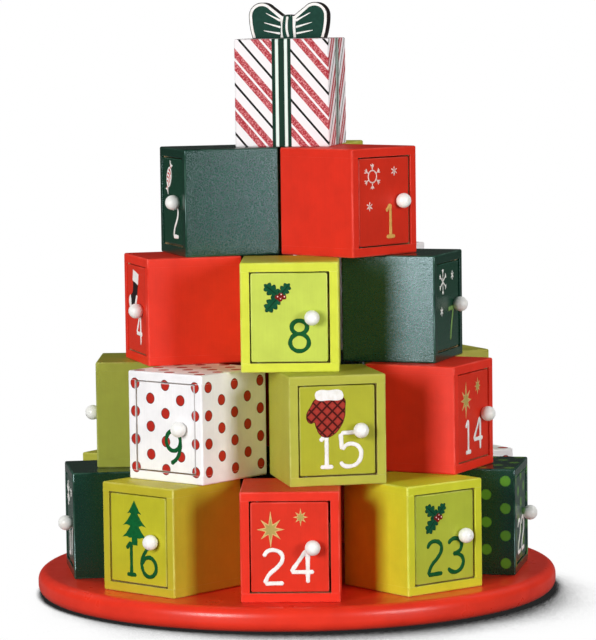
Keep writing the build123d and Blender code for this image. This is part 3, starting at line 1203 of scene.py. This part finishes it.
panelBlock = (tuple(doorLow), tuple(doorHigh))
doorMesh = roundedBlocks([panelBlock], doorStyle["edge"], doorEdgeWeight, doorStyle["edgeSteps"])
boreShape = bmesh.new()
boreRadius = doorStyle["boreDiameter"] / 2
for end in (doorLow.z, doorHigh.z):
    bmesh.ops.create_cone(
        boreShape, cap_ends=True, segments=doorStyle["boreSides"], radius1=boreRadius, radius2=boreRadius,
        depth=doorStyle["boreDepth"] * 2, matrix=Matrix.Translation((hingeAt.x, hingeAt.y, end)))
borer = newWorker("bores", closeMesh(boreShape, bpy.data.meshes.new("bores")))
panelWorker = newWorker("panel", doorMesh)
boring = panelWorker.modifiers.new("boring", "BOOLEAN")
boring.operation = "DIFFERENCE"
boring.object = borer
doorMesh = bakedMesh(panelWorker)
doorMesh.materials.clear()
bpy.data.objects.remove(borer)
markFaces(doorMesh, boxMiddle, lambda point: "upright")
print("door mesh:", len(doorMesh.polygons), "faces")

# Ball knob turned from a bead, flat where it is glued on, its tip dished a little
knobStyle = {
    "diameter": 10 * mm,
    "seat": 5 * mm,
    "tip": 3 * mm,
    "dish": ((0.45, 0.02 * mm), (0.0, 0.05 * mm)),  # share of the tip's radius, and depth
    "inset": 10.2 * mm,
    "bands": 14,
    "sides": 28,
}


def knobMesh():
    style = knobStyle
    radius = style["diameter"] / 2
    seatAngle = math.pi - math.asin(style["seat"] / style["diameter"])
    seatHeight = radius * math.cos(seatAngle)
    tipAngle = math.asin(style["tip"] / style["diameter"])
    profile = [(0.0, 0.0)]
    for band in range(style["bands"] + 1):
        angle = seatAngle + (tipAngle - seatAngle) * band / style["bands"]
        profile.append((radius * math.sin(angle), radius * math.cos(angle) - seatHeight))
    tipRadius, tipHeight = profile[-1]
    profile += [(tipRadius * share, tipHeight - depth) for share, depth in style["dish"]]
    return turnedMesh(profile, style["sides"])


bead = knobMesh()
bead.materials.append(lacquer)
frontSheet = Matrix.Translation((0.0, doorFront, 0.0)) @ Matrix.Rotation(math.pi / 2, 4, "X")
knobSpot = Matrix.Translation((doorHigh.x - knobStyle["inset"], boxMiddle.z, 0.0))

# Paint, number colour, motif and motif colour of each door
doorLooks = {
    1: ("red", "amber", paintSnow, "rose"),
    2: ("fir", "white", paintSweet, "white"),
    3: ("olive", "fir", paintCane, "white"),
    4: ("red", "white", paintStocking, "white"),
    5: ("fir", "white", paintStars, "gold"),
    6: ("whiteSpotted", "fir", None, None),
    7: ("fir", "moss", paintOpenSnow, "white"),
    8: ("lime", "fir", paintHolly, "holly"),
    9: ("whiteSpotted", "fir", None, None),
    10: ("moss", "fir", paintFir, "tree"),
    11: ("red", "white", paintStars, "gold"),
    12: ("fir", "white", paintCane, "white"),
    13: ("olive", "white", paintMitten, "white"),
    14: ("red", "white", paintStars, "gold"),
    15: ("olive", "white", paintMitten, "white"),
    16: ("mustard", "fir", paintFir, "tree"),
    17: ("fir", "white", paintOpenSnow, "white"),
    18: ("olive", "fir", paintHolly, "holly"),
    19: ("fir", "white", paintSweet, "white"),
    20: ("red", "amber", paintSnow, "rose"),
    21: ("whiteSpotted", "fir", None, None),
    22: ("firSpotted", "white", None, None),
    23: ("spring", "fir", paintHolly, "holly"),
    24: ("red", "white", paintStars, "gold"),
}
# How far the board map goes on with each number, so that no two boxes have the same drag marks
boxSlide = (0.31, 0.17)
doorSlide = (0.23, 0.41)
doorSlideStart = 5.0


def paintedCopy(mesh, materials, place, slideX, slideY):  # a box or a door in its paint and at its place
    copy = mesh.copy()
    for material in materials:
        copy.materials.append(material)
    for corner in copy.uv_layers["board"].data:
        corner.uv = (corner.uv[0] + slideX, corner.uv[1] + slideY)
    copy.transform(place)
    return copy


for number, (paint, numberPaint, motif, motifPaint) in sorted(doorLooks.items()):
    place = places[number]
    tag = f"{number:02d}"
    body = "door_" + tag
    slideX, slideY = (number * share for share in boxSlide)
    boxCopy = paintedCopy(boxMesh, (boardPaint[paint], basswood), place, slideX, slideY)
    finishPiece("boxBoards_" + tag, boxCopy, "tower", "box_" + tag)
    slideX, slideY = (number * share for share in doorSlide)
    doorCopy = paintedCopy(doorMesh, (doorPaint[paint],), place, slideX + doorSlideStart, slideY)
    finishPiece("doorPanel_" + tag, doorCopy, body, "door_" + tag)
    beadCopy = bead.copy()
    beadCopy.transform(place @ frontSheet @ knobSpot)
    finishPiece("doorKnob_" + tag, beadCopy, body)
    art = paintNumber(number, numberPaint) + (motif(motifPaint) if motif else [])
    artMesh = joinMeshes([(mesh, place @ frontSheet, material) for mesh, material in art])
    finishPiece("doorArt_" + tag, artMesh, body)
print("boxes and doors:", len(doorLooks))

# Gift box, closed all round, its paint wrapped round the corners
giftStyle = {
    "turn": math.radians(-11),
    "edge": 0.9 * mm,
    "edgeSteps": 3,
    "sideLift": 0.1,  # lifts the map on the sides, so that only the lid has a crossing ribbon
}
giftTurn = Matrix.Rotation(giftStyle["turn"], 4, "Z")
giftPlace = Matrix.Translation((0.0, 0.0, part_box("gift_box")[0].z)) @ giftTurn
giftBlock = [tuple(corner) for corner in localBox("gift_box", giftPlace)]
giftMesh = roundedBlocks([giftBlock], giftStyle["edge"], lambda point: 1.0, giftStyle["edgeSteps"])
wrap = openMesh(giftMesh)
wrapMap = wrap.loops.layers.uv.new("face")
for face in wrap.faces:
    face.smooth = not isFlat(face.normal)
    nx, ny, nz = face.normal
    for loop in face.loops:
        x, y, z = loop.vert.co
        if abs(nz) > max(abs(nx), abs(ny)):
            loop[wrapMap].uv = (x, y)
        elif abs(ny) > abs(nx):
            loop[wrapMap].uv = (-x if ny > 0 else x, z + giftStyle["sideLift"])
        else:
            loop[wrapMap].uv = (-y if nx > 0 else y, z + giftStyle["sideLift"])
closeMesh(wrap, giftMesh)
giftMesh.materials.append(stripes)
giftMesh.transform(giftPlace)
finishPiece("giftBox", giftMesh, "tower", "gift_box")
print("gift box:", len(giftMesh.polygons), "faces")

# Bow sawn from board: black sawn edge, white faces, green loops with white creases, and a striped knot
bowStyle = {
    "foot": 24.5 * mm,
    "halfWidth": 27 * mm,
    "height": 24.2 * mm,
    "sideSteps": 8,
    "loop": 9 * mm,
    "loopSteps": 16,
    "sweep": math.radians(135),
    "knotHalf": 3.8 * mm,
    "knotShoulder": 15.4 * mm,
    "knotHeight": 16 * mm,
    "knotRound": 0.15 * mm,
    "thickness": 12 * mm,
    "border": 2.4 * mm,
    "edge": 0.55 * mm,
    "edgeSteps": 2,
    "flatFace": 0.99,  # a face that points forward or back less than this is shaded round
    "whiteFace": 0.97,  # and less than this is black, so that the dark edge comes round on to the front
    "besideKnot": ((5.6, 13.3), (5.0, 8.5), (5.4, 0.0)),
    "creases": (((5.0, 11.7), (15.6, 17.3)), ((4.9, 7.4), (16.8, 10.8)), ((5.2, 3.2), (17.4, 5.4))),
    "creaseWidth": 1.7 * mm,
    "creaseTaper": 0.72,
    "creaseLift": 0.16 * mm,
    "knot": ((-3.3, 0.0), (-4.0, 5.0), (-3.9, 10.0), (-3.0, 14.9), (0.0, 15.5), (3.0, 14.9), (3.0, 8.0),
             (3.5, 0.0)),
    "knotLine": ((0.2, 0.6), (-0.9, 5.0), (-1.0, 10.0), (-0.4, 15.0)),
    "knotLineWidth": 1.8 * mm,
    "knotLineLift": 0.14 * mm,
}


def bowSide(border):  # the right-hand outline from foot to knot, drawn in by a border
    style = bowStyle
    loopX, loopY = style["halfWidth"] - style["loop"], style["height"] - style["loop"]
    lean = style["halfWidth"] - style["foot"]
    bulge = lean / 2 + loopY ** 2 / 2 / lean  # radius of the side, which the foot and the loop's flank lie on
    centreX = style["halfWidth"] - bulge
    radius = bulge - border
    start = -math.asin(loopY / radius)
    points = []
    for step in range(style["sideSteps"]):
        turn = start * (1 - step / style["sideSteps"])
        points.append((centreX + radius * math.cos(turn), loopY + radius * math.sin(turn)))
    points[0] = (points[0][0], 0.0)
    radius = style["loop"] - border
    for step in range(style["loopSteps"] + 1):
        turn = style["sweep"] * step / style["loopSteps"]
        points.append((loopX + radius * math.cos(turn), loopY + radius * math.sin(turn)))
    return points


def bowBoardMesh():
    style = bowStyle
    right = bowSide(0.0)
    right.append((style["knotHalf"], style["knotShoulder"]))
    right.append((style["knotHalf"] / 2, style["knotHeight"] - style["knotRound"]))
    outline = [*right, (0.0, style["knotHeight"]), *((-x, y) for x, y in reversed(right))]
    depth = style["thickness"]
    shape = bmesh.new()
    front = shape.faces.new([shape.verts.new((x, y, depth / 2)) for x, y in outline])
    pulled = bmesh.ops.extrude_face_region(shape, geom=[front])
    for item in pulled["geom"]:
        if isinstance(item, bmesh.types.BMVert):
            item.co.z = -depth / 2
    rims = [edge for edge in shape.edges if edge.verts[0].co.z == edge.verts[1].co.z]
    bmesh.ops.recalc_face_normals(shape, faces=shape.faces)
    bmesh.ops.bevel(
        shape, geom=rims, offset=style["edge"], segments=style["edgeSteps"], profile=0.5, affect="EDGES",
        clamp_overlap=True)
    for face in shape.faces:
        face.smooth = abs(face.normal.z) < style["flatFace"]
        face.material_index = 0 if abs(face.normal.z) > style["whiteFace"] else 1
    return closeMesh(shape, bpy.data.meshes.new("bowBoard"))


bowPlace = Matrix.Translation((0.0, 0.0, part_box("gift_bow")[0].z)) @ giftTurn
standing = Matrix.Rotation(math.pi / 2, 4, "X")
bowBoard = bowBoardMesh()
bowBoard.materials.append(brushPaint["white"])
bowBoard.materials.append(brushPaint["black"])
bowBoard.transform(bowPlace @ standing)
finishPiece("giftBow", bowBoard, "tower", "gift_bow")

lobe = [*bowSide(bowStyle["border"]), *moved(bowStyle["besideKnot"], size=mm)]
bowArt = []
for side in (1, -1):
    bowArt.append(filled([(side * x, y) for x, y in lobe], brushPaint["bowGreen"]))
    creases = [[(side * x * mm, y * mm) for x, y in line] for line in bowStyle["creases"]]
    bowArt.append(strokes(
        creases, bowStyle["creaseWidth"], "white",
        taper=bowStyle["creaseTaper"], lift=bowStyle["creaseLift"]))
bowArt.append(filled(moved(bowStyle["knot"], size=mm), brushPaint["bowGreen"]))
knotLine = moved(bowStyle["knotLine"], size=mm)
bowArt.append(strokes([knotLine], bowStyle["knotLineWidth"], "white", lift=bowStyle["knotLineLift"]))
toFace = Matrix.Translation((0.0, -bowStyle["thickness"] / 2, 0.0)) @ standing
bowRows = []
for turn in (0.0, math.pi):
    face = bowPlace @ Matrix.Rotation(turn, 4, "Z") @ toFace
    bowRows += [(mesh, face, material) for mesh, material in bowArt]
finishPiece("giftBowArt", joinMeshes(bowRows), "tower")
print("bow: painted on both faces")

# The brads and the closing strips keep their CAD shape
for node, material in (("hinge_pins", steel), ("door_stops", basswood)):
    frame["nodes"][node].data.materials.clear()
    frame["nodes"][node].data.materials.append(material)

# Stage: a wide floor, white to the camera, with the tower's soft shadow painted into it, and soft lamps round
# it
stageStyle = {
    "floorSize": 120.0,
    "floorColour": "#767676",  # what the floor sends back to the tower
    "shadowReach": 0.16,
    "shadowLean": (-0.2, 0.48, 0.85),  # up and to the back left, so the shadow lies to the front right
    "shadowRange": (0.56, 0.71),
    "shadowLeast": 0.02,
    "shadowSamples": 16,
    "glossShare": 0.03,
    "ambient": 0.02,
    "ambientColour": "#ffffff",
    "aim": (0.0, 0.0, 0.19),
}
lamps = (
    # name, azimuth from the front, elevation, distance, width, height, watts, whether gloss shows it
    ("leftBox", -35, 9, 1.7, 0.52, 0.7, 22.2, True),
    ("rightBox", 44, 9, 1.7, 0.46, 0.7, 15.0, True),
    ("frontFill", 0, 16, 3.0, 1.4, 1.0, 2.0, False),
    ("backLeft", -128, 34, 2.2, 1.2, 1.2, 24.0, False),
    ("backRight", 128, 34, 2.2, 1.2, 1.2, 24.0, False),
)


def seenDirectly(add):  # 1 to the camera, and a share of it in gloss and through glass
    rays = add("LightPath").outputs
    bent = add("Math", [rays["Is Glossy Ray"], rays["Is Transmission Ray"]], operation="MAXIMUM")
    share = add("Math", [bent, stageStyle["glossShare"]], operation="MULTIPLY")
    return add("Math", [rays["Is Camera Ray"], share], operation="MAXIMUM")


# Pale paper: matt to the lamps; to the camera a white glow, with a painted shadow from ambient occlusion
# where things stand over it
floorMaterial, add = newMaterial("palePaper")
floorDiffuse = add("BsdfDiffuse", {"Color": linearHex(stageStyle["floorColour"])})
lean = add("CombineXYZ", dict(zip("XYZ", stageStyle["shadowLean"])))
openSky = add("AmbientOcclusion", {
    "Distance": stageStyle["shadowReach"], "Normal": lean}, samples=stageStyle["shadowSamples"]).outputs["AO"]
darkest, clear = stageStyle["shadowRange"]
paintedShadow = add("MapRange", [
    openSky, darkest, clear, stageStyle["shadowLeast"], 1.0], interpolation_type="SMOOTHSTEP")
floorLight = add("Emission", {"Strength": paintedShadow})
floorBoth = add("MixShader", [seenDirectly(add), floorDiffuse, floorLight])
add("OutputMaterial", {"Surface": floorBoth})
floorMesh = bpy.data.meshes.new("floor")
reach = stageStyle["floorSize"] / 2
floorCorners = [(-reach, -reach, 0), (reach, -reach, 0), (reach, reach, 0), (-reach, reach, 0)]
floorMesh.from_pydata(floorCorners, [], [(0, 1, 2, 3)])
floorMesh.materials.append(floorMaterial)
floor = newWorker("floor", floorMesh)

world = bpy.data.worlds.new("studio")
scene.world = world
world.use_nodes = True
world.node_tree.nodes.clear()
add = partial(addNode, world.node_tree)
ambient = add("MapRange", [seenDirectly(add), 0.0, 1.0, stageStyle["ambient"], 1.0])
sky = add("Background", {"Color": linearHex(stageStyle["ambientColour"]), "Strength": ambient})
add("OutputWorld", {"Surface": sky})

for name, azimuth, elevation, distance, width, height, watts, inGloss in lamps:
    lampData = bpy.data.lights.new(name, "AREA")
    lampData.shape = "RECTANGLE"
    lampData.size = width
    lampData.size_y = height
    lampData.energy = watts
    lamp = newWorker(name, lampData)
    lamp.visible_camera = False
    lamp.visible_glossy = inGloss  # the others only lift the shadows
    turn, lift = math.radians(azimuth), math.radians(elevation)
    direction = Vector((math.sin(turn) * math.cos(lift), -math.cos(turn) * math.cos(lift), math.sin(lift)))
    lamp.location = Vector(stageStyle["aim"]) + direction * distance
    lamp.rotation_euler = direction.to_track_quat("Z", "Y").to_euler()
print("lamps:", len(lamps))

# Camera: fitted to the corners of the boxes in the picture
cameraStyle = {
    "at": (2.9 * mm, -2290 * mm, 392.3 * mm),
    "down": math.radians(5.22),
    "roll": math.radians(-0.741),
    "focalPixels": 3383,
    "imageHeight": 640,
    "sensor": 36.0,
    "clipEnd": 200.0,
}
cameraData = bpy.data.cameras.new("camera")
cameraData.sensor_width = cameraStyle["sensor"]
cameraData.lens = cameraStyle["focalPixels"] / cameraStyle["imageHeight"] * cameraStyle["sensor"]
cameraData.clip_end = cameraStyle["clipEnd"]
camera = newWorker("camera", cameraData)
camera.matrix_world = (
    Matrix.Translation(cameraStyle["at"])
    @ Matrix.Rotation(math.pi / 2 - cameraStyle["down"], 4, "X")
    @ Matrix.Rotation(cameraStyle["roll"], 4, "Z"))
scene.camera = camera
